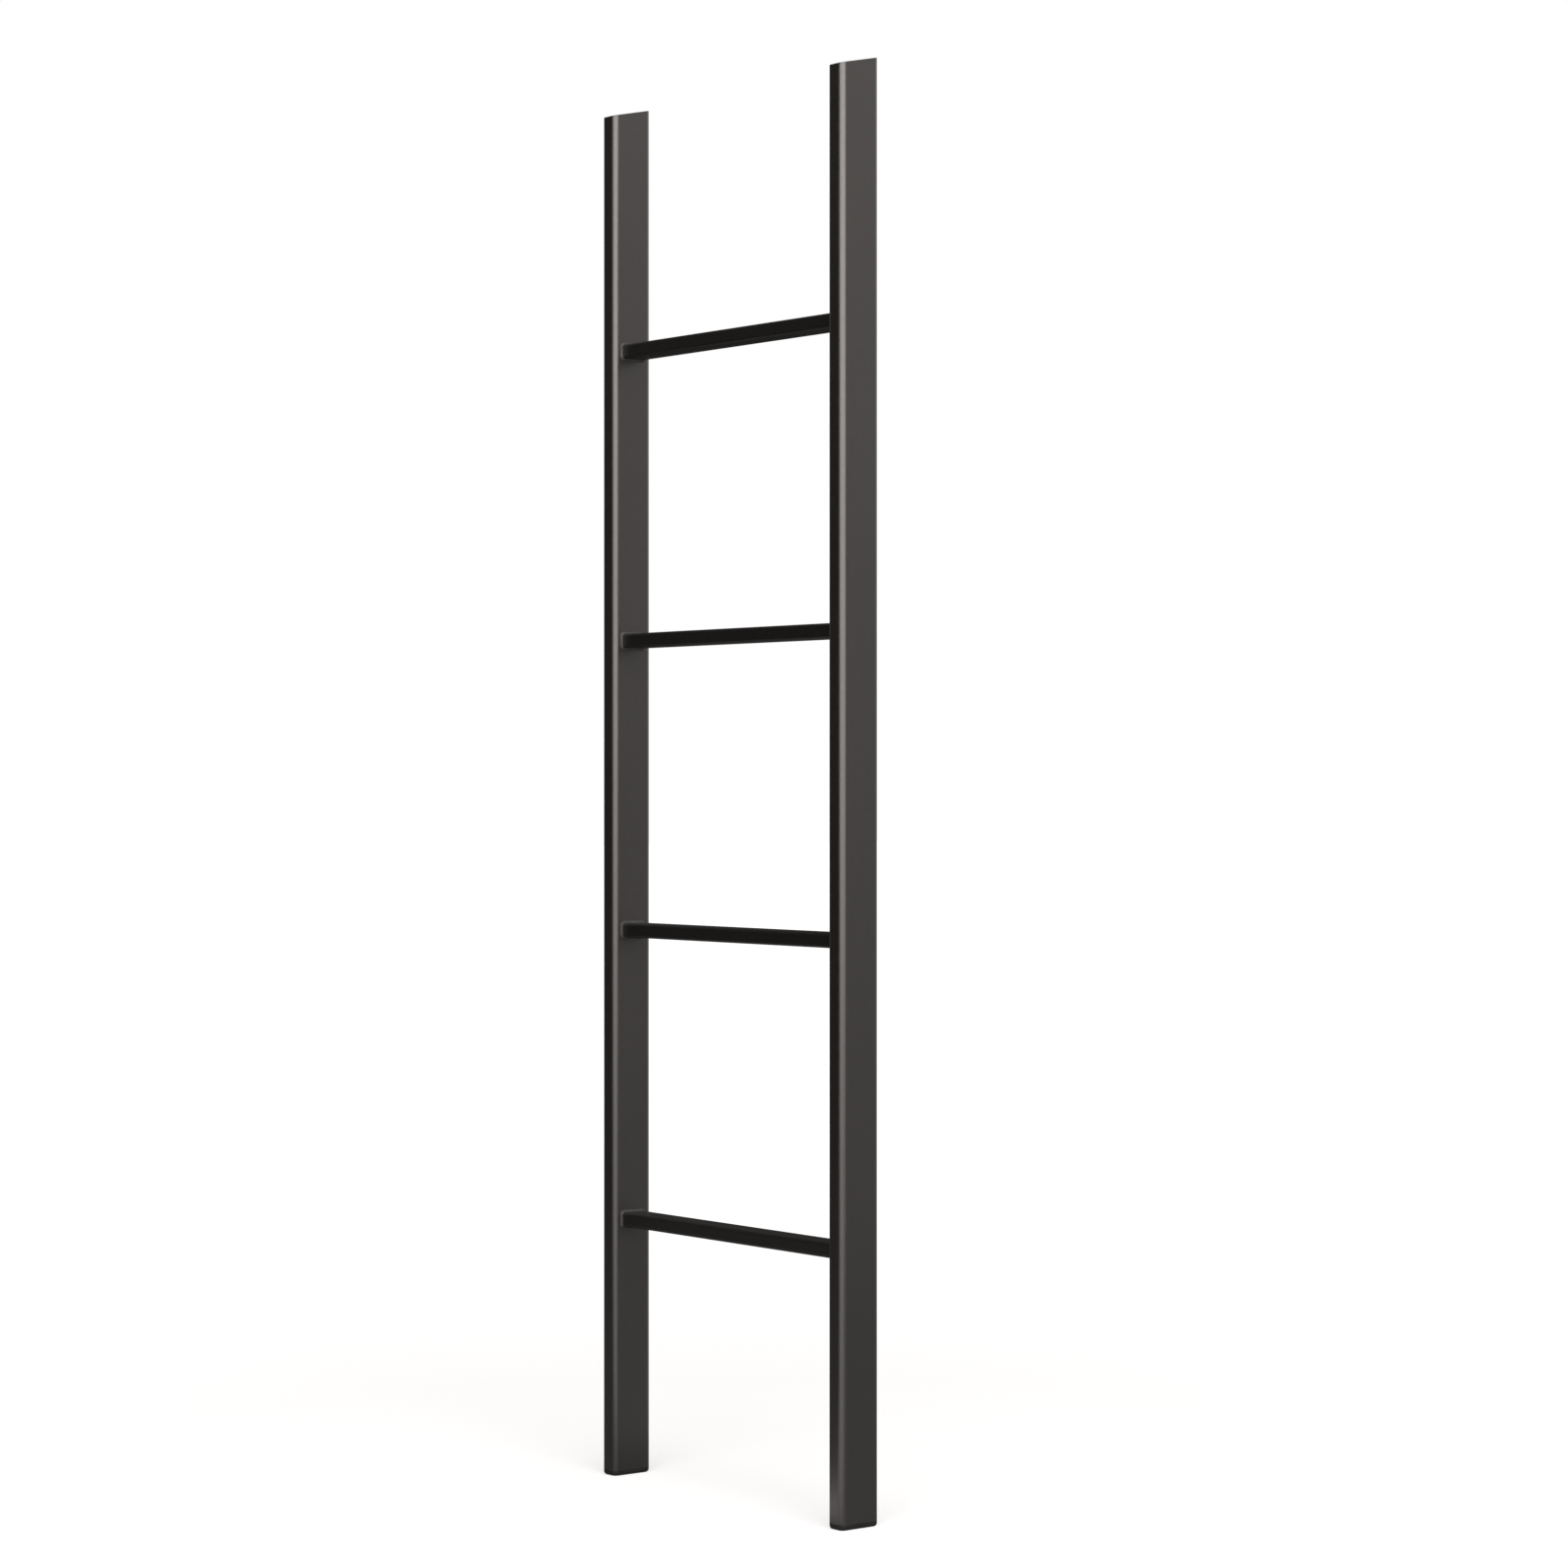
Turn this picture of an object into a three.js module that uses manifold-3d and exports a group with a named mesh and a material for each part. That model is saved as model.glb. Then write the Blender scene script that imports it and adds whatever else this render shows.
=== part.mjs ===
// A welded steel ladder for a bunk bed. Two upright rails of rounded rectangular tube carry four flat rungs of
// smaller tube. Each rung is welded all round to the rails' inner faces. The rails' tops are cut at a slant and
// closed with a plate, and a finned plastic foot is pushed into each rail's lower end. A rivet nut in the back of
// each rail takes the bolt that fixes the ladder to the bed.
// Millimetres, +Z up. The rungs run along X, the climber stands on the -Y side and the bed is on the +Y side. The
// origin is on the floor, midway between the feet.
import * as THREE from "three";
import { mergeVertices, toCreasedNormals } from "three/addons/utils/BufferGeometryUtils.js";
import Module from "manifold-3d";

const wasm = await Module();
wasm.setup();

// Whole ladder
const ladderHeight = 1250;
const ladderWidth = 350;

// Rail tube
const railDeep = 42;
const railWide = 20;
const railRadius = 6;
const railWall = 1.2;

// Slanted top and the plate that closes it
const topSlant = THREE.MathUtils.degToRad(12);
const topPlate = 1.5;
const topPlateEdge = 0.6;

// Rungs
const rungCount = 4;
const lowestRung = 234;
const rungPitch = 264;
const rungDeep = 25;
const rungHigh = 13;
const rungRadius = 2.5;
const rungWall = 1;

// Weld bead round a rung's end
const weldLeg = 2;
const weldCrown = 0.3;

// Push-in foot
const footFlange = 5;
const footEdge = 3;
const footFloor = 3.2;
const stemLength = 24;
const stemWall = 1.8;
const stemRoot = 1.1;
const stemTaper = 0.5;
const finCount = 4;
const finTip = 0.5;
const finRamp = 2.6;
const finPitch = 5;
const firstFin = 2.2;
const webCount = 2;
const webThick = 1.4;
const webDrop = 3;

// Rivet nut
const nutBelowTop = 70;
const nutBore = 2.5;
const nutHead = 4.8;
const nutSink = 0.6;
const nutShank = 4.4;
const nutCollar = 5.4;
const nutCollarLong = 2.6;
const nutLong = 13;
const nutChamfer = 0.4;

// Clearance of a piece that wraps round another or is cut beside it
const fit = 0.2;

// Facets
const cornerSteps = 6;
const edgeSteps = 5;
const turnSteps = 36;

const railCentre = (ladderWidth - railWide) / 2;
const rungLength = ladderWidth - 2 * railWide;

const powderCoat = () => new THREE.MeshStandardMaterial({ color: 0x3b3735, roughness: 0.42, metalness: 0.1 });
const blackPlastic = () => new THREE.MeshStandardMaterial({ color: 0x0c0c0d, roughness: 0.6, metalness: 0 });
const zincPlate = () => new THREE.MeshStandardMaterial({ color: 0xc4c6c2, roughness: 0.35, metalness: 1 });

// Points on a quarter or half turn, as [across, along].
function arc(across, along, radius, from, to, steps) {
  const points = [];
  for (let i = 0; i <= steps; i++) {
    const angle = THREE.MathUtils.degToRad(from + ((to - from) * i) / steps);
    points.push([across + radius * Math.cos(angle), along + radius * Math.sin(angle)]);
  }
  return points;
}

// A rounded rectangle, anticlockwise, grown outwards by offset. Every offset gives the same number of points.
function outline(wide, deep, radius, offset = 0) {
  const round = Math.max(radius + offset, 0.3);
  const x = wide / 2 + offset - round;
  const y = deep / 2 + offset - round;
  return [
    ...arc(x, y, round, 0, 90, cornerSteps),
    ...arc(-x, y, round, 90, 180, cornerSteps),
    ...arc(-x, -y, round, 180, 270, cornerSteps),
    ...arc(x, -y, round, 270, 360, cornerSteps),
  ];
}

const asVectors = (points) => points.map(([x, y]) => new THREE.Vector2(x, y));

// A straight length of rounded rectangular tube along +Z, open at both ends.
function tube(wide, deep, radius, wall, length) {
  const shape = new THREE.Shape(asVectors(outline(wide, deep, radius)));
  shape.holes.push(new THREE.Path(asVectors(outline(wide, deep, radius, -wall))));
  return new THREE.ExtrudeGeometry(shape, { depth: length, bevelEnabled: false });
}

// Carries a profile of [offset, height] points round a rounded rectangle. A closed profile gives a ring. An open
// one gives a solid whose first and last outlines are filled in, with strips that run straight across so that a
// flat end has large faces. The profile rises on the solid's outside.
function sweepRound(wide, deep, radius, profile, closed) {
  const rings = profile.map(([offset, z]) => outline(wide, deep, radius, offset).map(([x, y]) => [x, y, z]));
  const around = rings[0].length;
  const positions = rings.flat(2);
  const index = [];
  const bands = closed ? rings.length : rings.length - 1;
  for (let j = 0; j < bands; j++) {
    const low = j * around;
    const high = ((j + 1) % rings.length) * around;
    for (let i = 0; i < around; i++) {
      const next = (i + 1) % around;
      index.push(low + i, low + next, high + next, low + i, high + next, high + i);
    }
  }
  if (!closed) {
    const last = (rings.length - 1) * around;
    for (let i = 0; i < around / 2 - 1; i++) {
      const across = around - 1 - i;
      index.push(i, across, across - 1, i, across - 1, i + 1);
      index.push(last + i, last + i + 1, last + across - 1, last + i, last + across - 1, last + across);
    }
  }
  const geometry = new THREE.BufferGeometry();
  geometry.setAttribute("position", new THREE.Float32BufferAttribute(positions, 3));
  geometry.setIndex(index);
  return geometry;
}

// A three.js geometry as a solid that can be cut and joined.
function solidOf(geometry) {
  const plain = geometry.clone();
  plain.deleteAttribute("normal");
  plain.deleteAttribute("uv");
  const merged = mergeVertices(plain, 1e-4);
  const mesh = new wasm.Mesh({
    numProp: 3,
    vertProperties: merged.attributes.position.array,
    triVerts: new Uint32Array(merged.index.array),
  });
  return new wasm.Manifold(mesh);
}

// A solid as a three.js geometry again, with its sharp edges kept sharp.
function geometryOf(solid) {
  const { vertProperties, triVerts } = solid.getMesh();
  const geometry = new THREE.BufferGeometry();
  geometry.setAttribute("position", new THREE.BufferAttribute(vertProperties, 3));
  geometry.setIndex(new THREE.BufferAttribute(triVerts, 1));
  return toCreasedNormals(geometry, THREE.MathUtils.degToRad(35));
}

function part(name, geometry, material) {
  const mesh = new THREE.Mesh(geometry, material);
  mesh.name = name;
  return mesh;
}

// A slab that lies along the slanted top: from below to above, both measured square to the slant, under the plane
// through the rail's highest edge.
function slantedSlab(below, above) {
  const reach = 3 * railDeep;
  const slab = new THREE.BoxGeometry(reach, reach, below - above);
  slab.translate(0, 0, -(below + above) / 2);
  slab.rotateX(topSlant);
  slab.translate(0, railDeep / 2, ladderHeight);
  return slab;
}

// The hole in the rail's back wall for the rivet nut, countersunk for its head. Its axis is Y.
function nutHole() {
  const mouth = nutHead + fit;
  const bore = nutShank + fit;
  const past = railWall;
  const profile = [
    [0, -railWall - past],
    [bore, -railWall - past],
    [bore, -nutSink],
    [mouth, 0],
    [mouth, past],
    [0, past],
  ];
  const cutter = new THREE.LatheGeometry(asVectors(profile), turnSteps);
  return cutter.translate(0, railDeep / 2, ladderHeight - nutBelowTop);
}

// Upright rail: tube from the foot's flange to the slanted top plate.
function railGeometry() {
  const blank = tube(railWide, railDeep, railRadius, railWall, ladderHeight - footFlange);
  blank.translate(0, 0, footFlange);
  const saw = slantedSlab(topPlate + fit, -railDeep);
  return geometryOf(solidOf(blank).subtract(solidOf(saw)).subtract(solidOf(nutHole())));
}

// Plate over the rail's open top, with the rail's own outline. Its upper edge is ground to a small chamfer. It is
// drawn level and then sheared to the slant, so its sides stay upright and flush with the rail's.
function topPlateGeometry() {
  const upright = topPlate / Math.cos(topSlant);
  const rise = Math.tan(topSlant);
  const profile = [
    [0, -upright],
    [0, -topPlateEdge],
    [-topPlateEdge, 0],
  ];
  const plate = sweepRound(railWide, railDeep, railRadius, profile, false);
  plate.applyMatrix4(new THREE.Matrix4().makeShear(0, 0, 0, rise, 0, 0));
  plate.translate(0, 0, ladderHeight - (railDeep / 2) * rise);
  return geometryOf(solidOf(plate));
}

// Profile of the finned plug: flange with a rounded base edge, fins that ramp towards the tip, then the hollow.
function footProfile() {
  const root = -railWall - stemRoot;
  const reach = -railWall - fit;
  const lean = (height) => (-stemTaper * height) / stemLength;
  const tip = footFlange + stemLength;
  const profile = [
    ...arc(-footEdge, footEdge, footEdge, -90, 0, edgeSteps),
    [0, footFlange],
    [root, footFlange],
  ];
  for (let i = 0; i < finCount; i++) {
    const height = firstFin + i * finPitch;
    profile.push([root + lean(height), footFlange + height]);
    profile.push([reach, footFlange + height + finTip / 2]);
    profile.push([reach, footFlange + height + finTip]);
    profile.push([root + lean(height + finRamp), footFlange + height + finRamp]);
  }
  profile.push([root - stemTaper, tip - stemWall / 2]);
  profile.push([root - stemTaper - stemWall / 2, tip]);
  profile.push([root - stemTaper - stemWall, tip]);
  profile.push([root - stemWall, footFloor]);
  return profile;
}

// Push-in foot: the swept plug with webs across its hollow.
function footGeometry() {
  let plug = solidOf(sweepRound(railWide, railDeep, railRadius, footProfile(), false));
  const hollowDeep = railDeep - 2 * (railWall + stemRoot + stemWall);
  const webWide = railWide - 2 * (railWall + stemRoot) - stemWall;
  const webHigh = stemLength + footFlange - footFloor - webDrop;
  for (let i = 0; i < webCount; i++) {
    const y = hollowDeep * ((i + 1) / (webCount + 1) - 0.5);
    const web = new THREE.BoxGeometry(webWide - 2 * stemTaper, webThick, webHigh + footFloor / 2);
    web.translate(0, y, footFloor / 2 + (webHigh + footFloor / 2) / 2);
    plug = plug.add(solidOf(web));
  }
  return geometryOf(plug);
}

// Rivet nut with a flush head. Its collar is drawn up behind the rail's wall, and its bore goes right through.
function nutGeometry() {
  const wallBack = -railWall - fit;
  const collarEnd = wallBack - nutCollarLong;
  const profile = [
    [nutBore, -nutLong],
    [nutShank - nutChamfer, -nutLong],
    [nutShank, -nutLong + nutChamfer],
    [nutShank, collarEnd],
    [nutCollar, collarEnd + nutCollarLong / 3],
    [nutCollar, wallBack - nutCollarLong / 4],
    [nutCollar - nutChamfer, wallBack],
    [nutShank, wallBack],
    [nutShank, -nutSink],
    [nutHead, 0],
    [nutBore + nutChamfer, 0],
    [nutBore, -nutChamfer],
    [nutBore, -nutLong],
  ];
  return new THREE.LatheGeometry(asVectors(profile), turnSteps);
}

// Rung: flat tube that butts against both rails. Its outline is drawn as height by depth.
function rungGeometry() {
  return tube(rungHigh, rungDeep, rungRadius, rungWall, rungLength);
}

// Weld bead round a rung's end: a fillet with a slightly crowned face, rising from the rail along the rung.
function weldGeometry() {
  const face = [];
  for (let i = 0; i <= edgeSteps; i++) {
    const t = i / edgeSteps;
    const crown = 4 * weldCrown * t * (1 - t);
    face.push([fit + (weldLeg - fit) * (1 - t) + crown, weldLeg * t + crown]);
  }
  return sweepRound(rungHigh, rungDeep, rungRadius, [[fit, 0], ...face], true);
}

// One side of the ladder: the rail with what is fixed in and on it.
function sideRail(side, x) {
  const assembly = new THREE.Group();
  assembly.position.x = x;
  assembly.add(part(`${side}_rail`, railGeometry(), powderCoat()));
  assembly.add(part(`${side}_top_plate`, topPlateGeometry(), powderCoat()));
  assembly.add(part(`${side}_foot`, footGeometry(), blackPlastic()));
  const nut = part(`${side}_insert`, nutGeometry(), zincPlate());
  nut.position.set(0, railDeep / 2, ladderHeight - nutBelowTop);
  assembly.add(nut);
  return assembly;
}

// One rung with the bead at each end. The tube's length and the beads' axes are turned to run along X.
function weldedRung(number) {
  const quarter = Math.PI / 2;
  const assembly = new THREE.Group();
  assembly.position.z = lowestRung + (number - 1) * rungPitch;
  const rung = part(`rung_${number}`, rungGeometry(), powderCoat());
  rung.rotation.y = quarter;
  rung.position.x = -rungLength / 2;
  const leftBead = part(`weld_left_${number}`, weldGeometry(), powderCoat());
  leftBead.rotation.y = quarter;
  leftBead.position.x = -rungLength / 2;
  const rightBead = part(`weld_right_${number}`, weldGeometry(), powderCoat());
  rightBead.rotation.y = -quarter;
  rightBead.position.x = rungLength / 2;
  assembly.add(rung, leftBead, rightBead);
  return assembly;
}

const ladder = new THREE.Group();
ladder.add(sideRail("left", -railCentre), sideRail("right", railCentre));
for (let number = 1; number <= rungCount; number++) {
  ladder.add(weldedRung(number));
}

export default ladder;
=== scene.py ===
# The looks of a welded steel bunk bed ladder. The two upright rails, the plates that close their slanted
# tops, the four flat rungs and their weld beads have a satin charcoal powder coat. The feet are of black
# plastic, and the rivet nuts in the backs of the rails are zinc plated. Metres, +Z up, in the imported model's
# frame.
import math

import bmesh
import bpy
from mathutils import Matrix, Vector


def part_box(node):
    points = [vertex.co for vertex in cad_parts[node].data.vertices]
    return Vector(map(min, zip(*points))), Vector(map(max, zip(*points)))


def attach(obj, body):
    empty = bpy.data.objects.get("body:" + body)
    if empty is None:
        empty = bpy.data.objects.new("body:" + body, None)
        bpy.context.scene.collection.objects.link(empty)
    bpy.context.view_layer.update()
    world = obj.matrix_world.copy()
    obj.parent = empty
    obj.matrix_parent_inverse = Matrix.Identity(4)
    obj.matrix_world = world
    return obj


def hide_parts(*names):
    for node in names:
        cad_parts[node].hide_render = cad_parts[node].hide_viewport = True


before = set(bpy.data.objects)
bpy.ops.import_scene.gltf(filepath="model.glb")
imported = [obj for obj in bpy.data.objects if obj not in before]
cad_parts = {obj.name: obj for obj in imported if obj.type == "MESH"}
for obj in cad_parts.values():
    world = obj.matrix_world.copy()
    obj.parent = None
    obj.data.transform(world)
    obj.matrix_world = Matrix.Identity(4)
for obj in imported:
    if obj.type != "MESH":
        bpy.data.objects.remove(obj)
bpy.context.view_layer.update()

MM = 0.001
SIDES = ("left", "right")
RUNGS = (1, 2, 3, 4)

# Rail tube and its slanted top
RAIL_RADIUS = 6 * MM
RAIL_WALL = 1.2 * MM
TOP_SLANT = math.radians(12)
TOP_PLATE = 1.5 * MM
PLATE_EDGE = 0.7 * MM
SEAM = 0.05 * MM

# Rung tube
RUNG_RADIUS = 2.5 * MM
RUNG_WALL = 1 * MM

# Weld bead round a rung's end. WELD_WANDER is the most that its leg varies from place to place, by a noise
# with WANDER_SCALE cells in a metre. Each bead's seed is its rung's number plus its side's part.
WELD_LEG = 2 * MM
WELD_CROWN = 0.3 * MM
WELD_LIFT = 0.04 * MM
RIPPLE_PITCH = 1.6 * MM
RIPPLE_DEPTH = 0.07
WELD_WANDER = 0.12 * MM
WANDER_SCALE = 160
SIDE_SEED = {"left": 0.0, "right": 0.5}

# Push-in foot
FOOT_FLANGE = 5 * MM
FOOT_EDGE = 3 * MM
FOOT_FLOOR = 3.2 * MM
STEM_WALL = 1.8 * MM
STEM_ROOT = 1.1 * MM
STEM_TAPER = 0.5 * MM
STEM_FIT = 0.2 * MM
FIN_COUNT = 4
FIN_TIP = 0.5 * MM
FIN_RAMP = 2.6 * MM
FIN_PITCH = 5 * MM
FIRST_FIN = 2.2 * MM
WEB_COUNT = 2
WEB_THICK = 1.4 * MM
WEB_DROP = 3 * MM

# Rivet nut with an M6 thread
NUT_HEAD = 4.8 * MM
NUT_SHANK = 4.4 * MM
NUT_COLLAR = 5.4 * MM
NUT_COLLAR_LONG = 2.6 * MM
NUT_COLLAR_RISE = NUT_COLLAR_LONG / 3
NUT_COLLAR_FALL = NUT_COLLAR_LONG / 4
NUT_SINK = 0.6 * MM
NUT_LONG = 13 * MM
NUT_CHAMFER = 0.4 * MM
NUT_FIT = 0.1 * MM
CUTTER_PAST = 2 * MM
THREAD_MINOR = 2.5 * MM
THREAD_MAJOR = 3.0 * MM
THREAD_PITCH = 1.0 * MM

# Smoothness: steps in a corner, a dressed edge, a full turn, a bead's face, a ripple and a pitch of thread.
# SUPPORT is how far the extra points of a flat lie from its corners. Edges sharper than the two angles, in
# degrees, stay sharp.
CORNER_STEPS = 14
EDGE_STEPS = 8
TURN_STEPS = 64
FACE_STEPS = 8
RIPPLE_STEPS = 8
THREAD_STEPS = 6
SUPPORT = 0.35 * MM
LEAST_RADIUS = 0.15 * MM
MERGE = 0.0001 * MM
SHARP_EDGE = 35
BEAD_SHARP_EDGE = 60


def middle(low, high):
    """The middle of a box, as plain numbers."""
    return [(a + b) / 2 for a, b in zip(low, high)]


def arc(across, along, radius, start, end, steps):
    """Points on part of a circle, from start to end in degrees."""
    turn = [math.radians(start + (end - start) * i / steps) for i in range(steps + 1)]
    return [(across + radius * math.cos(a), along + radius * math.sin(a)) for a in turn]


def stepped(point, degrees):
    """The support point that lies a short step from a corner's end."""
    a = math.radians(degrees)
    return (point[0] + SUPPORT * math.cos(a), point[1] + SUPPORT * math.sin(a))


def rounded_outline(wide, deep, radius, offset=0.0):
    """A rounded rectangle, anticlockwise, grown by offset, with extra points that keep its sides flat."""
    round_off = max(radius + offset, LEAST_RADIUS)
    x = wide / 2 + offset - round_off
    y = deep / 2 + offset - round_off
    points = []
    for sign_x, sign_y, start in ((1, 1, 0), (-1, 1, 90), (-1, -1, 180), (1, -1, 270)):
        corner = arc(sign_x * x, sign_y * y, round_off, start, start + 90, CORNER_STEPS)
        points += [stepped(corner[0], start - 90), *corner, stepped(corner[-1], start + 180)]
    return points


def flat_ring(outline, x, y, z):
    """An outline laid flat about a point."""
    return [(x + a, y + b, z) for a, b in outline]


def slanted_ring(outline, x, y, top, back):
    """An outline laid on a rail's slanted top, which is highest at the rail's back face."""
    return [(x + a, y + b, top - (back - (y + b)) * math.tan(TOP_SLANT)) for a, b in outline]


def rung_ring(outline, x, y, z):
    """An outline stood up across a rung."""
    return [(x, y + a, z + b) for a, b in outline]


def turned_ring(profile, share):
    """A profile of (radius, along) points, turned about the Y axis by a share of a full turn."""
    a = 2 * math.pi * share
    return [(radius * math.cos(a), along, radius * math.sin(a)) for radius, along in profile]


def ring_bmesh(rings, closed):
    """Faces between rings of points. Closed joins the last ring to the first; else both ends are filled."""
    bm = bmesh.new()
    loops = [[bm.verts.new(point) for point in ring] for ring in rings]
    around = len(rings[0])
    bands = len(loops) if closed else len(loops) - 1
    for j in range(bands):
        here, there = loops[j], loops[(j + 1) % len(loops)]
        for i in range(around):
            k = (i + 1) % around
            bm.faces.new((here[i], here[k], there[k], there[i]))
    if not closed:
        bm.faces.new(list(reversed(loops[0])))
        bm.faces.new(loops[-1])
    return bm


def finished_mesh(name, bm):
    """The mesh of a bmesh, with its faces outwards."""
    bmesh.ops.recalc_face_normals(bm, faces=bm.faces)
    mesh = bpy.data.meshes.new(name)
    bm.to_mesh(mesh)
    bm.free()
    return mesh


def ring_mesh(name, rings, closed=False):
    """A closed mesh through rings of points."""
    return finished_mesh(name, ring_bmesh(rings, closed))


def turned_mesh(name, profile):
    """A solid turned from a closed profile that starts and ends on the Y axis."""
    bm = ring_bmesh([turned_ring(profile, i / TURN_STEPS) for i in range(TURN_STEPS)], closed=True)
    bmesh.ops.remove_doubles(bm, verts=bm.verts, dist=MERGE)
    bmesh.ops.dissolve_degenerate(bm, edges=bm.edges, dist=MERGE)
    return finished_mesh(name, bm)


def linked_object(name, data):
    """A new object in the scene, at the origin."""
    thing = bpy.data.objects.new(name, data)
    bpy.context.scene.collection.objects.link(thing)
    return thing


def discard(thing):
    """Removes a helper object and its mesh."""
    mesh = thing.data
    bpy.data.objects.remove(thing)
    bpy.data.meshes.remove(mesh)


def evaluated_mesh(name, thing):
    """The mesh that an object's modifiers make of it, in place of the object."""
    bpy.context.view_layer.update()
    depsgraph = bpy.context.evaluated_depsgraph_get()
    mesh = bpy.data.meshes.new_from_object(thing.evaluated_get(depsgraph))
    discard(thing)
    mesh.name = name
    return mesh


def combined(mesh, other, operation):
    """The mesh after a boolean operation with another one. Both are used up."""
    tool = linked_object("boolean_tool", other)
    blank = linked_object("boolean_blank", mesh)
    step = blank.modifiers.new("step", "BOOLEAN")
    step.operation = operation
    step.solver = "EXACT"
    step.object = tool
    result = evaluated_mesh(mesh.name, blank)
    discard(tool)
    return result


def add_piece(mesh, material, node, sharp=SHARP_EDGE):
    """A finished piece, named as its mesh is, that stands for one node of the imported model."""
    mesh.shade_smooth()
    mesh.set_sharp_from_angle(angle=math.radians(sharp))
    mesh.materials.clear()
    mesh.materials.append(material)
    piece = linked_object(mesh.name, mesh)
    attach(piece, "root")
    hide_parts(node)


def cut_nut_hole(mesh, mouth):
    """Cuts the countersunk hole for the rivet nut through the rail's back wall."""
    profile = [
        (0, -RAIL_WALL - CUTTER_PAST),
        (NUT_SHANK + NUT_FIT, -RAIL_WALL - CUTTER_PAST),
        (NUT_SHANK + NUT_FIT, -NUT_SINK),
        (NUT_HEAD + NUT_FIT, 0),
        (NUT_HEAD + NUT_FIT, CUTTER_PAST),
        (0, CUTTER_PAST),
    ]
    cutter = turned_mesh("nut_hole_cutter", profile)
    cutter.transform(Matrix.Translation(mouth))
    return combined(mesh, cutter, "DIFFERENCE")


def rail_mesh(side):
    """Rounded rectangular tube from the foot's flange to the top plate, with a hole for the rivet nut."""
    low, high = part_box(f"{side}_rail")
    nut_low, nut_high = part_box(f"{side}_insert")
    wide, deep = high.x - low.x, high.y - low.y
    x, y, _ = middle(low, high)
    outer = rounded_outline(wide, deep, RAIL_RADIUS)
    inner = rounded_outline(wide, deep, RAIL_RADIUS, -RAIL_WALL)
    rings = [
        flat_ring(outer, x, y, low.z),
        slanted_ring(outer, x, y, high.z, high.y),
        slanted_ring(inner, x, y, high.z, high.y),
        flat_ring(inner, x, y, low.z),
    ]
    tube = ring_mesh(f"{side}_rail_tube", rings, closed=True)
    nut_z = (nut_low.z + nut_high.z) / 2
    return cut_nut_hole(tube, (x, high.y, nut_z))


def top_plate_mesh(side):
    """The plate that closes the slanted top, its edge dressed round after welding."""
    low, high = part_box(f"{side}_rail")
    wide, deep = high.x - low.x, high.y - low.y
    x, y, _ = middle(low, high)
    upright = TOP_PLATE / math.cos(TOP_SLANT)
    base = high.z + SEAM
    profile = [(0, 0), *arc(-PLATE_EDGE, upright - PLATE_EDGE, PLATE_EDGE, 0, 90, EDGE_STEPS)]
    rings = []
    for offset, rise in profile:
        outline = rounded_outline(wide, deep, RAIL_RADIUS, offset)
        rings.append(slanted_ring(outline, x, y, base + rise, high.y))
    return ring_mesh(f"{side}_top_plate_dressed", rings)


def rung_mesh(number):
    """Flat rectangular tube that butts against both rails."""
    low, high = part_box(f"rung_{number}")
    deep, tall = high.y - low.y, high.z - low.z
    _, y, z = middle(low, high)
    outer = rounded_outline(deep, tall, RUNG_RADIUS)
    inner = rounded_outline(deep, tall, RUNG_RADIUS, -RUNG_WALL)
    rings = [
        rung_ring(outer, low.x, y, z),
        rung_ring(outer, high.x, y, z),
        rung_ring(inner, high.x, y, z),
        rung_ring(inner, low.x, y, z),
    ]
    return ring_mesh(f"rung_{number}_tube", rings, closed=True)


def foot_profile(tall):
    """The foot's section as (offset, rise): up the flange and the finned stem, and down inside the stem."""
    stem = tall - FOOT_FLANGE
    root = -RAIL_WALL - STEM_ROOT
    reach = -RAIL_WALL - STEM_FIT
    rim = root - STEM_TAPER
    profile = arc(-FOOT_EDGE, FOOT_EDGE, FOOT_EDGE, -90, 0, EDGE_STEPS)
    profile += [(0, FOOT_FLANGE - SEAM), (root, FOOT_FLANGE - SEAM)]
    for i in range(FIN_COUNT):
        height = FIRST_FIN + i * FIN_PITCH
        ramp = height + FIN_RAMP
        profile += [
            (root - STEM_TAPER * height / stem, FOOT_FLANGE + height),
            (reach, FOOT_FLANGE + height + FIN_TIP / 2),
            (reach, FOOT_FLANGE + height + FIN_TIP),
            (root - STEM_TAPER * ramp / stem, FOOT_FLANGE + ramp),
        ]
    profile += [
        (rim, tall - STEM_WALL / 2),
        (rim - STEM_WALL / 2, tall),
        (rim - STEM_WALL, tall),
        (root - STEM_WALL, FOOT_FLOOR),
    ]
    return profile


def foot_mesh(side):
    """Plastic foot: rounded flange under the rail, and inside it a finned hollow stem with webs across."""
    low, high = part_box(f"{side}_foot")
    wide, deep = high.x - low.x, high.y - low.y
    x, y, _ = middle(low, high)
    rings = []
    for offset, rise in foot_profile(high.z - low.z):
        outline = rounded_outline(wide, deep, RAIL_RADIUS, offset)
        rings.append(flat_ring(outline, x, y, low.z + rise))
    moulding = ring_mesh(f"{side}_foot_moulding", rings)

    hollow_deep = deep - 2 * (RAIL_WALL + STEM_ROOT + STEM_WALL)
    reach = wide / 2 - RAIL_WALL - STEM_ROOT - STEM_WALL / 2 - STEM_TAPER
    half = WEB_THICK / 2
    section = [(-reach, -half), (reach, -half), (reach, half), (-reach, half)]
    ends = (low.z + FOOT_FLOOR / 2, high.z - WEB_DROP)
    for i in range(WEB_COUNT):
        web_y = y + hollow_deep * ((i + 1) / (WEB_COUNT + 1) - 0.5)
        web = ring_mesh("foot_web", [flat_ring(section, x, web_y, z) for z in ends])
        moulding = combined(moulding, web, "UNION")
    return moulding


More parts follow.
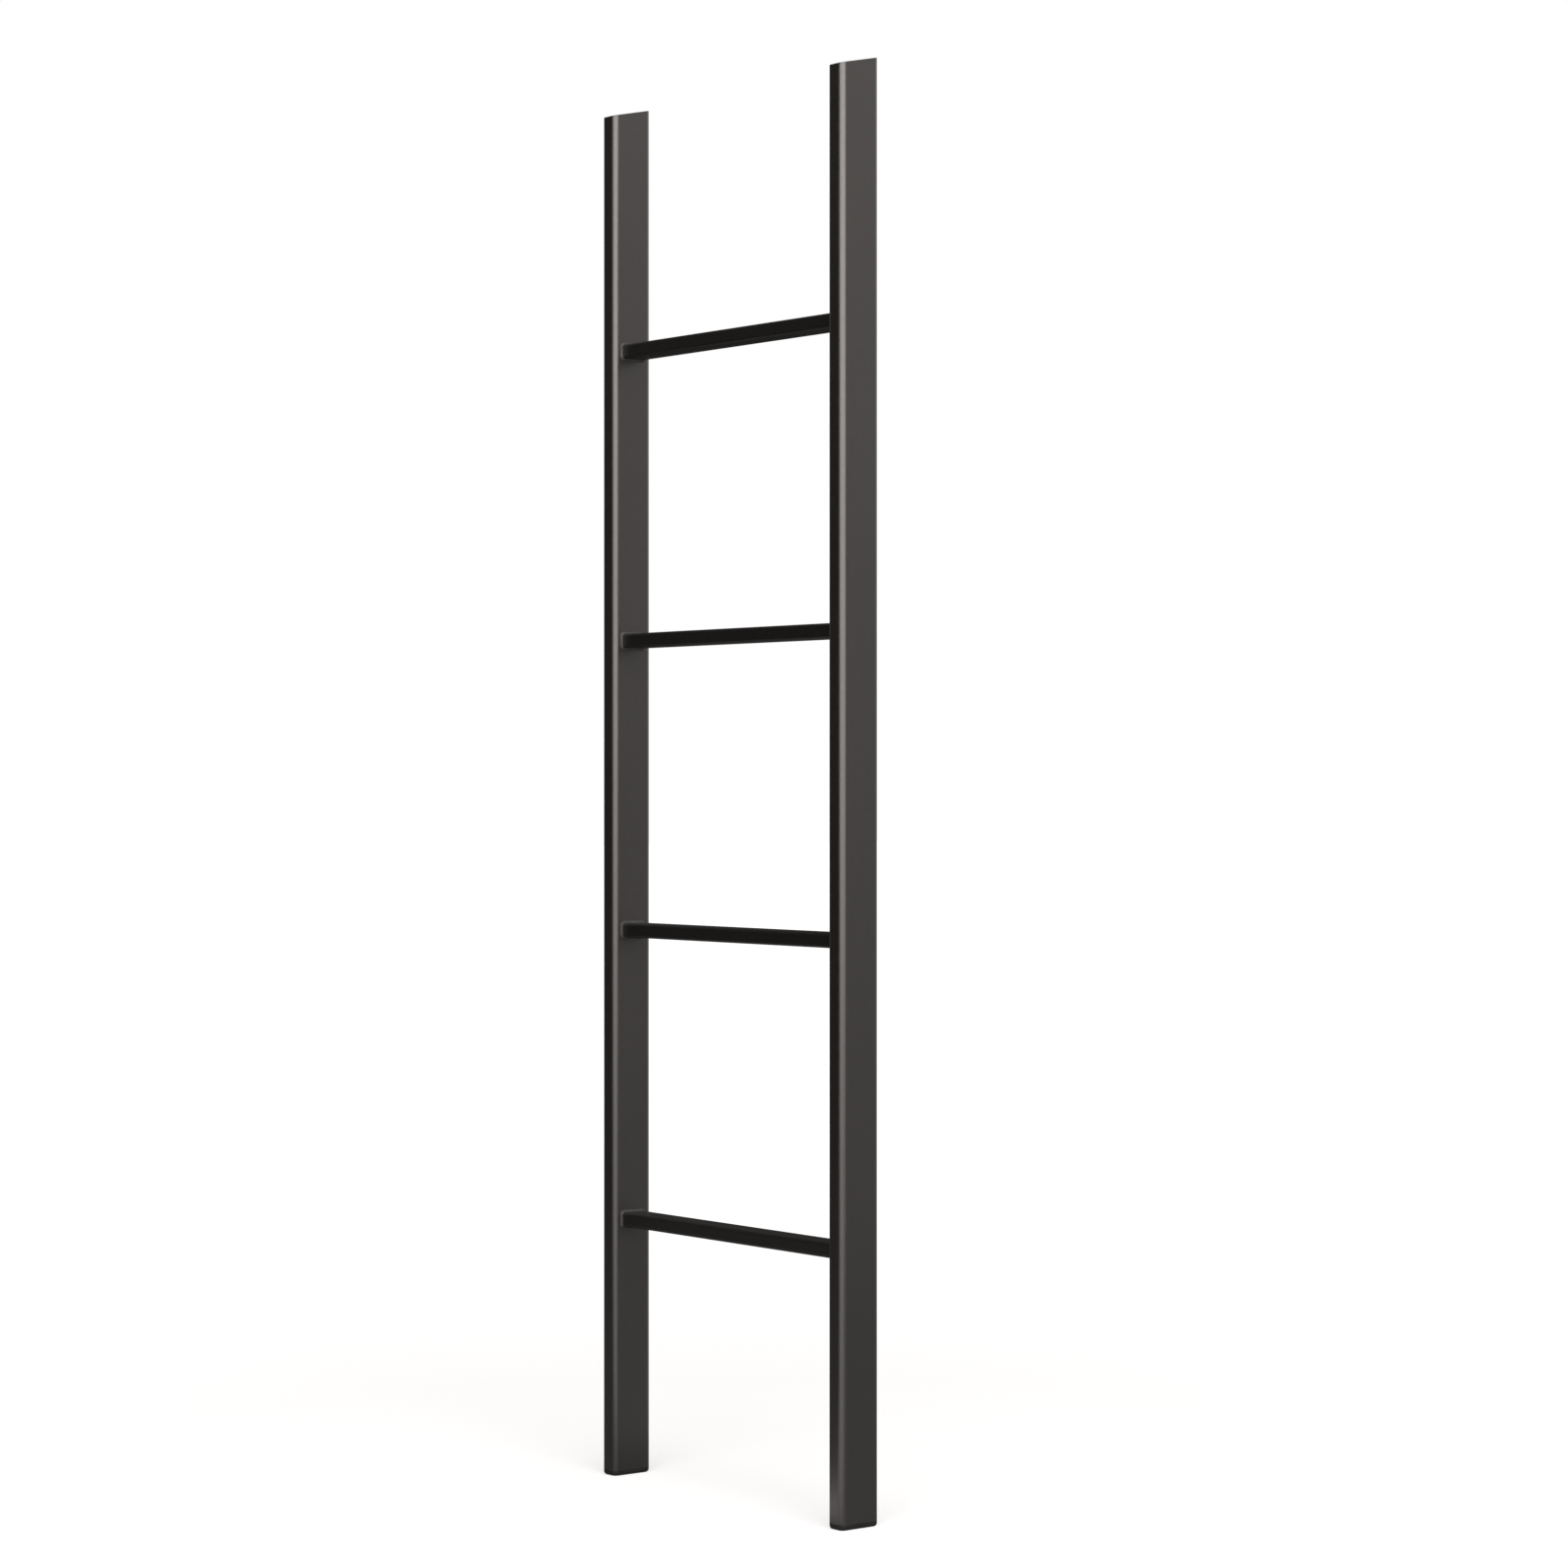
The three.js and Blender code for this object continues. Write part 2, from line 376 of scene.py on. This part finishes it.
def thread_profile(share):
    """The bore's wall as (radius, along), at a share of a full turn. The thread fades out at both ends."""
    rows = round((NUT_LONG - NUT_CHAMFER) / THREAD_PITCH * THREAD_STEPS)
    points = []
    for j in range(rows + 1):
        along = -NUT_CHAMFER + (NUT_CHAMFER - NUT_LONG) * j / rows
        phase = (along / THREAD_PITCH + share) % 1.0
        tooth = 1 - abs(2 * phase - 1)
        fade = min(1.0, j / THREAD_STEPS, (rows - j) / THREAD_STEPS)
        points.append((THREAD_MINOR + (THREAD_MAJOR - THREAD_MINOR) * (1 - tooth * fade), along))
    return points


def nut_mesh(side):
    """Rivet nut set flush in the rail's back, with a cut thread in its bore."""
    low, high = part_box(f"{side}_insert")
    x, _, z = middle(low, high)
    wall_back = -RAIL_WALL - NUT_FIT
    collar_end = wall_back - NUT_COLLAR_LONG
    outside = [
        (NUT_SHANK - NUT_CHAMFER, -NUT_LONG),
        (NUT_SHANK, -NUT_LONG + NUT_CHAMFER),
        (NUT_SHANK, collar_end),
        (NUT_COLLAR, collar_end + NUT_COLLAR_RISE),
        (NUT_COLLAR, wall_back - NUT_COLLAR_FALL),
        (NUT_COLLAR - NUT_CHAMFER, wall_back),
        (NUT_SHANK, wall_back),
        (NUT_SHANK, -NUT_SINK),
        (NUT_HEAD, 0),
        (THREAD_MAJOR + NUT_CHAMFER / 2, 0),
    ]
    shares = [i / TURN_STEPS for i in range(TURN_STEPS)]
    rings = [turned_ring(outside + thread_profile(share), share) for share in shares]
    mesh = ring_mesh(f"{side}_insert_nut", rings, closed=True)
    mesh.transform(Matrix.Translation((x, high.y, z)))
    return mesh


def feed(tree, socket, value):
    """Gives a node's input a plain value, or links another node's output to it."""
    if isinstance(value, bpy.types.NodeSocket):
        tree.links.new(value, socket)
    else:
        socket.default_value = value


def math_node(tree, operation, *values):
    """The result of a math node on sockets and plain numbers."""
    node = tree.nodes.new("ShaderNodeMath")
    node.operation = operation
    for socket, value in zip(node.inputs, values):
        feed(tree, socket, value)
    return node.outputs[0]


def socket_id(tree, name):
    """The identifier of a node tree's input, by its name."""
    for item in tree.interface.items_tree:
        if item.item_type == "SOCKET" and item.in_out == "INPUT" and item.name == name:
            return item.identifier
    raise KeyError(name)


def weld_bead_tree():
    """Geometry Nodes: a rippled weld bead. A section that fills the corner is swept along a closed path."""
    tree = bpy.data.node_groups.new("weld_bead", "GeometryNodeTree")
    inputs = (
        ("Path", "NodeSocketGeometry"),
        ("Section", "NodeSocketObject"),
        ("Step", "NodeSocketFloat"),
        ("Ripple pitch", "NodeSocketFloat"),
        ("Ripple depth", "NodeSocketFloat"),
        ("Wander", "NodeSocketFloat"),
        ("Seed", "NodeSocketFloat"),
        ("Material", "NodeSocketMaterial"),
    )
    for name, kind in inputs:
        tree.interface.new_socket(name, in_out="INPUT", socket_type=kind)
    tree.interface.new_socket("Bead", in_out="OUTPUT", socket_type="NodeSocketGeometry")
    nodes, links = tree.nodes, tree.links
    entry = nodes.new("NodeGroupInput")
    leave = nodes.new("NodeGroupOutput")

    path = nodes.new("GeometryNodeMeshToCurve")
    links.new(entry.outputs["Path"], path.inputs["Mesh"])
    even = nodes.new("GeometryNodeResampleCurve")
    even.mode = "LENGTH"
    links.new(path.outputs["Curve"], even.inputs["Curve"])
    links.new(entry.outputs["Step"], even.inputs["Length"])
    upright = nodes.new("GeometryNodeSetCurveNormal")
    upright.mode = "Z_UP"
    links.new(even.outputs["Curve"], upright.inputs["Curve"])

    # Across goes from -1 to 1 over each ripple, whose ends are lower than its middle by the ripple depth.
    along = nodes.new("GeometryNodeSplineParameter")
    ripples = math_node(tree, "DIVIDE", along.outputs["Length"], entry.outputs["Ripple pitch"])
    across = math_node(tree, "MULTIPLY_ADD", math_node(tree, "FRACT", ripples), 2.0, -1.0)
    squared = math_node(tree, "MULTIPLY", across, across)
    dip = math_node(tree, "MULTIPLY", squared, entry.outputs["Ripple depth"])

    # The whole bead swells and shrinks slowly about its size.
    spread = nodes.new("ShaderNodeTexNoise")
    spread.noise_dimensions = "4D"
    spread.inputs["Scale"].default_value = WANDER_SCALE
    links.new(entry.outputs["Seed"], spread.inputs["W"])
    sway = math_node(tree, "SUBTRACT", spread.outputs["Fac"], 0.5)
    swell = math_node(tree, "MULTIPLY_ADD", sway, entry.outputs["Wander"], 1.0)
    size = math_node(tree, "SUBTRACT", swell, dip)

    section = nodes.new("GeometryNodeObjectInfo")
    links.new(entry.outputs["Section"], section.inputs["Object"])
    section_curve = nodes.new("GeometryNodeMeshToCurve")
    links.new(section.outputs["Geometry"], section_curve.inputs["Mesh"])
    swept = nodes.new("GeometryNodeCurveToMesh")
    links.new(upright.outputs["Curve"], swept.inputs["Curve"])
    links.new(section_curve.outputs["Curve"], swept.inputs["Profile Curve"])
    links.new(size, swept.inputs["Scale"])
    real = nodes.new("GeometryNodeRealizeInstances")
    links.new(swept.outputs["Mesh"], real.inputs["Geometry"])
    coat = nodes.new("GeometryNodeSetMaterial")
    links.new(real.outputs["Geometry"], coat.inputs["Geometry"])
    links.new(entry.outputs["Material"], coat.inputs["Material"])
    links.new(coat.outputs["Geometry"], leave.inputs["Bead"])
    return tree


def loop_object(name, points):
    """An object whose mesh is one closed loop of edges."""
    mesh = bpy.data.meshes.new(name)
    count = len(points)
    mesh.from_pydata(points, [(i, (i + 1) % count) for i in range(count)], [])
    return linked_object(name, mesh)


def weld_section():
    """The bead's section: a filled corner with a slightly crowned face. The corner is at the origin."""
    points = [(0, 0, 0)]
    for i in range(FACE_STEPS + 1):
        # The crown is full where t * (1 - t) is a quarter, in the middle of the face.
        t = i / FACE_STEPS
        bulge = 4 * WELD_CROWN * t * (1 - t) / math.sqrt(2)
        points.append((WELD_LEG * (1 - t) + bulge, WELD_LEG * t + bulge, 0))
    return loop_object("weld_section", points)


def weld_mesh(side, number, tree, section, material):
    """Lays a bead round a rung's end, in a flat frame, and turns it to face along the rung."""
    low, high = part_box(f"rung_{number}")
    outline = rounded_outline(high.y - low.y, high.z - low.z, RUNG_RADIUS, WELD_LIFT)
    path = loop_object("weld_path", [(y, z, 0) for y, z in outline])
    lay = path.modifiers.new("lay", "NODES")
    lay.node_group = tree
    values = {
        "Section": section,
        "Step": RIPPLE_PITCH / RIPPLE_STEPS,
        "Ripple pitch": RIPPLE_PITCH,
        "Ripple depth": RIPPLE_DEPTH,
        "Wander": WELD_WANDER / WELD_LEG,
        "Seed": number + SIDE_SEED[side],
        "Material": material,
    }
    for name, value in values.items():
        lay[socket_id(tree, name)] = value
    mesh = evaluated_mesh(f"weld_{side}_{number}_bead", path)
    if side == "left":
        end_x = low.x
        turn = Matrix(((0, 0, -1), (-1, 0, 0), (0, 1, 0)))
    else:
        end_x = high.x
        turn = Matrix(((0, 0, 1), (1, 0, 0), (0, 1, 0)))
    _, y, z = middle(low, high)
    mesh.transform(Matrix.Translation((end_x, y, z)) @ turn.to_4x4())
    return mesh


# Finishes. Colours are linear, from the darkest to the lightest, and roughness is from the smoothest to the
# roughest. Heights are those of the bumps, and a noise's scale is its cells in a metre. Most of a noise lies
# in NOISE_SPAN.
COAT_COLOURS = ((0.0042, 0.0038, 0.0035), (0.0062, 0.0057, 0.0052))
COAT_ROUGHNESS = (0.34, 0.38)
BEAD_ROUGHNESS = (0.70, 0.80)
COAT_SPECULAR = 1.0
PEEL_HEIGHT = 0.03 * MM
GRAIN_HEIGHT = 0.008 * MM
PLASTIC_COLOURS = ((0.0045, 0.0045, 0.0048), (0.0090, 0.0088, 0.0086))
PLASTIC_ROUGHNESS = (0.5, 0.62)
PLASTIC_SPECULAR = 0.4
SPARK_HEIGHT = 0.02 * MM
ZINC_COLOURS = ((0.52, 0.53, 0.52), (0.68, 0.69, 0.66))
ZINC_ROUGHNESS = (0.24, 0.42)
SCRATCH_HEIGHT = 0.006 * MM
NOISE_SPAN = (0.3, 0.7)


def shader(name):
    """A new material, its node tree, its Principled shader and its Object coordinates."""
    material = bpy.data.materials.new(name)
    material.use_nodes = True
    tree = material.node_tree
    coordinates = tree.nodes.new("ShaderNodeTexCoord")
    return material, tree, tree.nodes["Principled BSDF"], coordinates.outputs["Object"]


def noise(tree, vector, scale, detail, roughness=0.5):
    """Noise from 0 to 1 over the surface."""
    texture = tree.nodes.new("ShaderNodeTexNoise")
    texture.inputs["Scale"].default_value = scale
    texture.inputs["Detail"].default_value = detail
    texture.inputs["Roughness"].default_value = roughness
    tree.links.new(vector, texture.inputs["Vector"])
    return texture.outputs["Fac"]


def map_range(tree, value, edge, to_low, to_high):
    """Goes from to_low to to_high while the value crosses the edge, and stays level on both sides of it."""
    node = tree.nodes.new("ShaderNodeMapRange")
    numbers = {"From Min": edge[0], "From Max": edge[1], "To Min": to_low, "To Max": to_high}
    for name, number in numbers.items():
        node.inputs[name].default_value = number
    tree.links.new(value, node.inputs["Value"])
    return node.outputs["Result"]


def colour_between(tree, value, colours):
    """Goes from the first colour to the second while a noise crosses NOISE_SPAN."""
    ramp = tree.nodes.new("ShaderNodeValToRGB")
    for stop, position, colour in zip(ramp.color_ramp.elements, NOISE_SPAN, colours):
        stop.position = position
        stop.color = (*colour, 1)
    tree.links.new(value, ramp.inputs["Fac"])
    return ramp.outputs["Color"]


def bump(tree, height, distance, under=None):
    """The normal of a surface that a noise raises by up to a distance, over a coarser one if it is given."""
    node = tree.nodes.new("ShaderNodeBump")
    node.inputs["Distance"].default_value = distance
    tree.links.new(height, node.inputs["Height"])
    if under is not None:
        tree.links.new(under, node.inputs["Normal"])
    return node.outputs["Normal"]


def powder_coat_material(name, roughness):
    """Satin charcoal powder coat: fine orange peel over a slow drift in shade and gloss."""
    material, tree, principled, place = shader(name)
    drift = noise(tree, place, scale=9, detail=3)
    cloud = noise(tree, place, scale=160, detail=2)
    peel = bump(tree, noise(tree, place, scale=420, detail=2), PEEL_HEIGHT)
    grain = bump(tree, noise(tree, place, scale=1900, detail=3, roughness=0.6), GRAIN_HEIGHT, peel)
    feed(tree, principled.inputs["Base Color"], colour_between(tree, drift, COAT_COLOURS))
    feed(tree, principled.inputs["Roughness"], map_range(tree, cloud, NOISE_SPAN, *roughness))
    feed(tree, principled.inputs["Normal"], grain)
    principled.inputs["Specular IOR Level"].default_value = COAT_SPECULAR
    return material


def foot_plastic_material():
    """Black moulded plastic with a fine spark texture and a faint dusty bloom."""
    material, tree, principled, place = shader("foot_plastic_black")
    bloom = noise(tree, place, scale=60, detail=4)
    spark = bump(tree, noise(tree, place, scale=2600, detail=2, roughness=0.7), SPARK_HEIGHT)
    feed(tree, principled.inputs["Base Color"], colour_between(tree, bloom, PLASTIC_COLOURS))
    feed(tree, principled.inputs["Roughness"], map_range(tree, bloom, NOISE_SPAN, *PLASTIC_ROUGHNESS))
    feed(tree, principled.inputs["Normal"], spark)
    principled.inputs["Specular IOR Level"].default_value = PLASTIC_SPECULAR
    return material


def zinc_material():
    """Bright zinc plate over turned steel, a little cloudy."""
    material, tree, principled, place = shader("zinc_plate_bright")
    cloud = noise(tree, place, scale=500, detail=4)
    scratch = bump(tree, noise(tree, place, scale=3000, detail=3, roughness=0.7), SCRATCH_HEIGHT)
    feed(tree, principled.inputs["Base Color"], colour_between(tree, cloud, ZINC_COLOURS))
    feed(tree, principled.inputs["Roughness"], map_range(tree, cloud, NOISE_SPAN, *ZINC_ROUGHNESS))
    feed(tree, principled.inputs["Normal"], scratch)
    principled.inputs["Metallic"].default_value = 1.0
    return material


def make_ladder():
    """The 20 pieces, each with its finish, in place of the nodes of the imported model."""
    coat = powder_coat_material("powder_coat_charcoal", COAT_ROUGHNESS)
    bead_coat = powder_coat_material("powder_coat_over_welds", BEAD_ROUGHNESS)
    plastic = foot_plastic_material()
    zinc = zinc_material()
    for side in SIDES:
        add_piece(rail_mesh(side), coat, f"{side}_rail")
        add_piece(top_plate_mesh(side), coat, f"{side}_top_plate")
        add_piece(foot_mesh(side), plastic, f"{side}_foot")
        add_piece(nut_mesh(side), zinc, f"{side}_insert")
    tree = weld_bead_tree()
    section = weld_section()
    for number in RUNGS:
        add_piece(rung_mesh(number), coat, f"rung_{number}")
        for side in SIDES:
            bead = weld_mesh(side, number, tree, section, bead_coat)
            add_piece(bead, bead_coat, f"weld_{side}_{number}", BEAD_SHARP_EDGE)
    discard(section)


# Camera: level, at the photograph's viewing angle. Its azimuth, and the softboxes', is measured from the
# climber's side towards +X.
VIEW_AZIMUTH = math.radians(51.97)
VIEW_DISTANCE = 3.411
VIEW_ASIDE = 0.0428
VIEW_HEIGHT = 0.6314
SENSOR = 36.0
FOCAL_PIXELS = 3941.4
IMAGE_PIXELS = 1600
CLIP_NEAR = 0.05
CLIP_FAR = 100


def aim(thing, place, direction):
    """Puts a camera or a lamp at a place, to look along a direction."""
    thing.location = place
    thing.rotation_mode = "QUATERNION"
    thing.rotation_quaternion = direction.to_track_quat("-Z", "Y")


def make_camera():
    """The photograph's view of the ladder."""
    ahead = Vector((-math.sin(VIEW_AZIMUTH), math.cos(VIEW_AZIMUTH), 0))
    aside = Vector((math.cos(VIEW_AZIMUTH), math.sin(VIEW_AZIMUTH), 0))
    data = bpy.data.cameras.new("camera")
    data.sensor_fit = "HORIZONTAL"
    data.sensor_width = SENSOR
    data.lens = FOCAL_PIXELS / IMAGE_PIXELS * SENSOR
    data.clip_start = CLIP_NEAR
    data.clip_end = CLIP_FAR
    camera = linked_object("camera", data)
    aim(camera, aside * VIEW_ASIDE - ahead * VIEW_DISTANCE + Vector((0, 0, VIEW_HEIGHT)), ahead)
    bpy.context.scene.camera = camera


# Floor and backdrop as the camera sees them. The floor's glow rises to white over GLOW_EDGE, in metres from
# the ladder. ROOM_LIGHT is what matt surfaces get from all round.
FLOOR_REACH = 30
FLOOR_COLOUR = (0.61, 0.615, 0.62, 1)
NEAR_GLOW = 0.60
FAR_GLOW = 1.0
GLOW_EDGE = (0.7, 3.5)
WHITE = (1, 1, 1, 1)
BACKDROP_GLOW = 1.0
ROOM_LIGHT = 0.22

# What gloss sees of the white room: its right side and its back, a dark screen on its left side, and in the
# middle of the screen a weak fill for the rails' left faces. The walls get brighter upwards. The floor is
# painted for gloss with a glow in place of its lit surface: painted shade darkens it near the ladder, a
# painted glow brightens it close to the ladder, and a painted pool of light lies where the softboxes face.
# Edges are parts of a direction along X, Y or Z, or metres of floor.
WARM_WHITE = (1, 0.938, 0.905, 1)
SCREEN_IN_GLOSS = 0.03
RIGHT_IN_GLOSS = 0.42
RIGHT_EDGE = (-0.35, 0.35)
BACK_IN_GLOSS = 0.80
BACK_EDGE = (0.80, 0.97)
FILL_IN_GLOSS = 0.25
FILL_EDGE = (-0.90, -0.99)
# Painted glow: the floor as gloss sees it, brighter close to the ladder.
PAINTED_NEAR_GLOW_IN_GLOSS = 0.20
PAINTED_NEAR_GLOW_EDGE = (0.8, 2.5)
LIFT = 2.35
LIFT_EDGE = (0.0, 0.25)
# Painted pool of light: the floor as gloss sees it, bright where the softboxes face.
PAINTED_POOL_IN_GLOSS = 1.2
PAINTED_POOL_WAY = (0.64, -0.77, 0)
PAINTED_POOL_EDGE = (0.75, 0.95)
# Painted shade: the floor as gloss sees it, darker near the ladder.
PAINTED_FLOOR_SHADE = 0.75
PAINTED_SHADE_EDGE = (1.0, 3.2)


def brightest(tree, first, *others):
    """The greatest of some values."""
    level = first
    for other in others:
        level = math_node(tree, "MAXIMUM", level, other)
    return level


def room_in_gloss(tree, direction):
    """How bright gloss finds the room in a direction: its walls get brighter upwards."""
    parts = tree.nodes.new("ShaderNodeSeparateXYZ")
    tree.links.new(direction, parts.inputs[0])
    right = map_range(tree, parts.outputs["X"], RIGHT_EDGE, SCREEN_IN_GLOSS, RIGHT_IN_GLOSS)
    back = map_range(tree, parts.outputs["Y"], BACK_EDGE, SCREEN_IN_GLOSS, BACK_IN_GLOSS)
    fill = map_range(tree, parts.outputs["X"], FILL_EDGE, SCREEN_IN_GLOSS, FILL_IN_GLOSS)
    lift = map_range(tree, parts.outputs["Z"], LIFT_EDGE, 1, LIFT)
    return math_node(tree, "MULTIPLY", brightest(tree, right, back, fill), lift)


def painted_floor_in_gloss(tree, place, distance):
    """The floor's glow as gloss sees it, painted in place of its lit matt surface: a dimmer room with painted
    shade near the ladder, a painted glow close to it and a painted pool of light where the softboxes face.
    """
    towards = tree.nodes.new("ShaderNodeVectorMath")
    towards.operation = "NORMALIZE"
    tree.links.new(place, towards.inputs[0])
    facing = tree.nodes.new("ShaderNodeVectorMath")
    facing.operation = "DOT_PRODUCT"
    tree.links.new(towards.outputs["Vector"], facing.inputs[0])
    facing.inputs[1].default_value = PAINTED_POOL_WAY
    room = room_in_gloss(tree, towards.outputs["Vector"])
    # Painted shade near the ladder, a painted glow close to it and a painted pool of light where the softboxes
    # face.
    shade = map_range(tree, distance, PAINTED_SHADE_EDGE, PAINTED_FLOOR_SHADE, 1)
    near = map_range(tree, distance, PAINTED_NEAR_GLOW_EDGE, PAINTED_NEAR_GLOW_IN_GLOSS, SCREEN_IN_GLOSS)
    lit_floor_and_painted_pool = map_range(tree, facing.outputs["Value"], PAINTED_POOL_EDGE, SCREEN_IN_GLOSS, PAINTED_POOL_IN_GLOSS)
    return brightest(tree, math_node(tree, "MULTIPLY", room, shade), near, lit_floor_and_painted_pool)


def seen_directly(tree, ray):
    """1 for what the camera sees, straight or through glass."""
    return brightest(tree, ray.outputs["Is Camera Ray"], ray.outputs["Is Transmission Ray"])


def shining(tree, kind, strength, colour):
    """An Emission or Background shader. Its strength is a socket or a plain number."""
    node = tree.nodes.new(kind)
    node.inputs["Color"].default_value = colour
    feed(tree, node.inputs["Strength"], strength)
    return node.outputs[0]


def either(tree, choice, one, other):
    """A shader that is the one where the choice is 0, and the other where it is 1."""
    mix = tree.nodes.new("ShaderNodeMixShader")
    tree.links.new(choice, mix.inputs["Fac"])
    tree.links.new(one, mix.inputs[1])
    tree.links.new(other, mix.inputs[2])
    return mix.outputs[0]


def make_floor():
    """Pale matt floor. The camera sees it fade to white with distance, so that no horizon shows."""
    mesh = bpy.data.meshes.new("floor")
    r = FLOOR_REACH
    mesh.from_pydata([(-r, -r, 0), (r, -r, 0), (r, r, 0), (-r, r, 0)], [], [(0, 1, 2, 3)])
    floor = linked_object("floor", mesh)
    material = bpy.data.materials.new("pale_floor")
    material.use_nodes = True
    tree = material.node_tree
    tree.nodes.clear()
    output = tree.nodes.new("ShaderNodeOutputMaterial")
    ray = tree.nodes.new("ShaderNodeLightPath")
    place = tree.nodes.new("ShaderNodeTexCoord").outputs["Object"]
    away = tree.nodes.new("ShaderNodeVectorMath")
    away.operation = "LENGTH"
    tree.links.new(place, away.inputs[0])
    distance = away.outputs["Value"]

    matt = tree.nodes.new("ShaderNodeBsdfDiffuse")
    matt.inputs["Color"].default_value = FLOOR_COLOUR
    lift = map_range(tree, distance, GLOW_EDGE, NEAR_GLOW, FAR_GLOW)
    seen = math_node(tree, "MULTIPLY", lift, seen_directly(tree, ray))
    lit_floor_and_painted_pool = tree.nodes.new("ShaderNodeAddShader")
    tree.links.new(matt.outputs[0], lit_floor_and_painted_pool.inputs[0])
    tree.links.new(shining(tree, "ShaderNodeEmission", seen, WHITE), lit_floor_and_painted_pool.inputs[1])

    # Gloss sees the floor as a painted glow, with painted shade and light, in place of its lit matt surface.
    level = painted_floor_in_gloss(tree, place, distance)
    in_gloss = shining(tree, "ShaderNodeEmission", level, WARM_WHITE)
    surface = either(tree, ray.outputs["Is Glossy Ray"], lit_floor_and_painted_pool.outputs[0], in_gloss)
    tree.links.new(surface, output.inputs["Surface"])
    mesh.materials.append(material)


def make_world():
    """White for the camera, the room for gloss, and a soft light from all round for matt surfaces."""
    world = bpy.data.worlds.new("studio")
    bpy.context.scene.world = world
    world.use_nodes = True
    tree = world.node_tree
    tree.nodes.clear()
    output = tree.nodes.new("ShaderNodeOutputWorld")
    ray = tree.nodes.new("ShaderNodeLightPath")
    direction = tree.nodes.new("ShaderNodeTexCoord").outputs["Generated"]
    room = shining(tree, "ShaderNodeBackground", ROOM_LIGHT, WHITE)
    backdrop = shining(tree, "ShaderNodeBackground", BACKDROP_GLOW, WHITE)
    in_gloss = shining(tree, "ShaderNodeBackground", room_in_gloss(tree, direction), WARM_WHITE)
    for_gloss = either(tree, ray.outputs["Is Glossy Ray"], room, in_gloss)
    for_camera = either(tree, seen_directly(tree, ray), for_gloss, backdrop)
    tree.links.new(for_camera, output.inputs["Surface"])


def add_softbox(name, azimuth, elevation, distance, size, watts, height, spread):
    """A softbox with a grid, aimed at a height on the ladder, with its angles in degrees."""
    a, e = math.radians(azimuth), math.radians(elevation)
    away = Vector((math.sin(a) * math.cos(e), -math.cos(a) * math.cos(e), math.sin(e)))
    data = bpy.data.lights.new(name, "AREA")
    data.shape = "RECTANGLE"
    data.size, data.size_y = size
    data.energy = watts
    data.spread = math.radians(spread)
    data.color = WARM_WHITE[:3]
    lamp = linked_object(name, data)
    aim(lamp, Vector((0, 0, height)) + away * distance, -away)
    lamp.visible_camera = False
    return lamp


def flag_off_rungs(lamps):
    """Keeps lamps off the rungs, as flags do, so that their flat tops don't glare when seen from behind."""
    flagged = bpy.data.collections.new("flagged_rungs")
    for number in RUNGS:
        flagged.objects.link(bpy.data.objects[f"rung_{number}_tube"])
    for entry in flagged.collection_objects:
        entry.light_linking.link_state = "EXCLUDE"
    for lamp in lamps:
        lamp.light_linking.receiver_collection = flagged


def make_lights():
    """Three softboxes on the climber's right and one overhead."""
    add_softbox(
        "right_softbox",
        azimuth=77,
        elevation=7,
        distance=2.8,
        size=(2.3, 2.4),
        watts=15,
        height=1.25,
        spread=84,
    )
    front = add_softbox(
        "front_softbox",
        azimuth=33,
        elevation=7,
        distance=2.8,
        size=(2.3, 2.4),
        watts=13.5,
        height=1.25,
        spread=84,
    )
    upper = add_softbox(
        "upper_softbox",
        azimuth=55,
        elevation=16,
        distance=2.8,
        size=(4.4, 1.1),
        watts=9,
        height=1.15,
        spread=110,
    )
    add_softbox(
        "overhead_softbox",
        azimuth=60,
        elevation=72,
        distance=2.6,
        size=(1.6, 1.6),
        watts=30,
        height=0.6,
        spread=180,
    )
    flag_off_rungs((front, upper))


make_ladder()
make_camera()
make_floor()
make_world()
make_lights()

scene = bpy.context.scene
scene.view_settings.view_transform = "Standard"
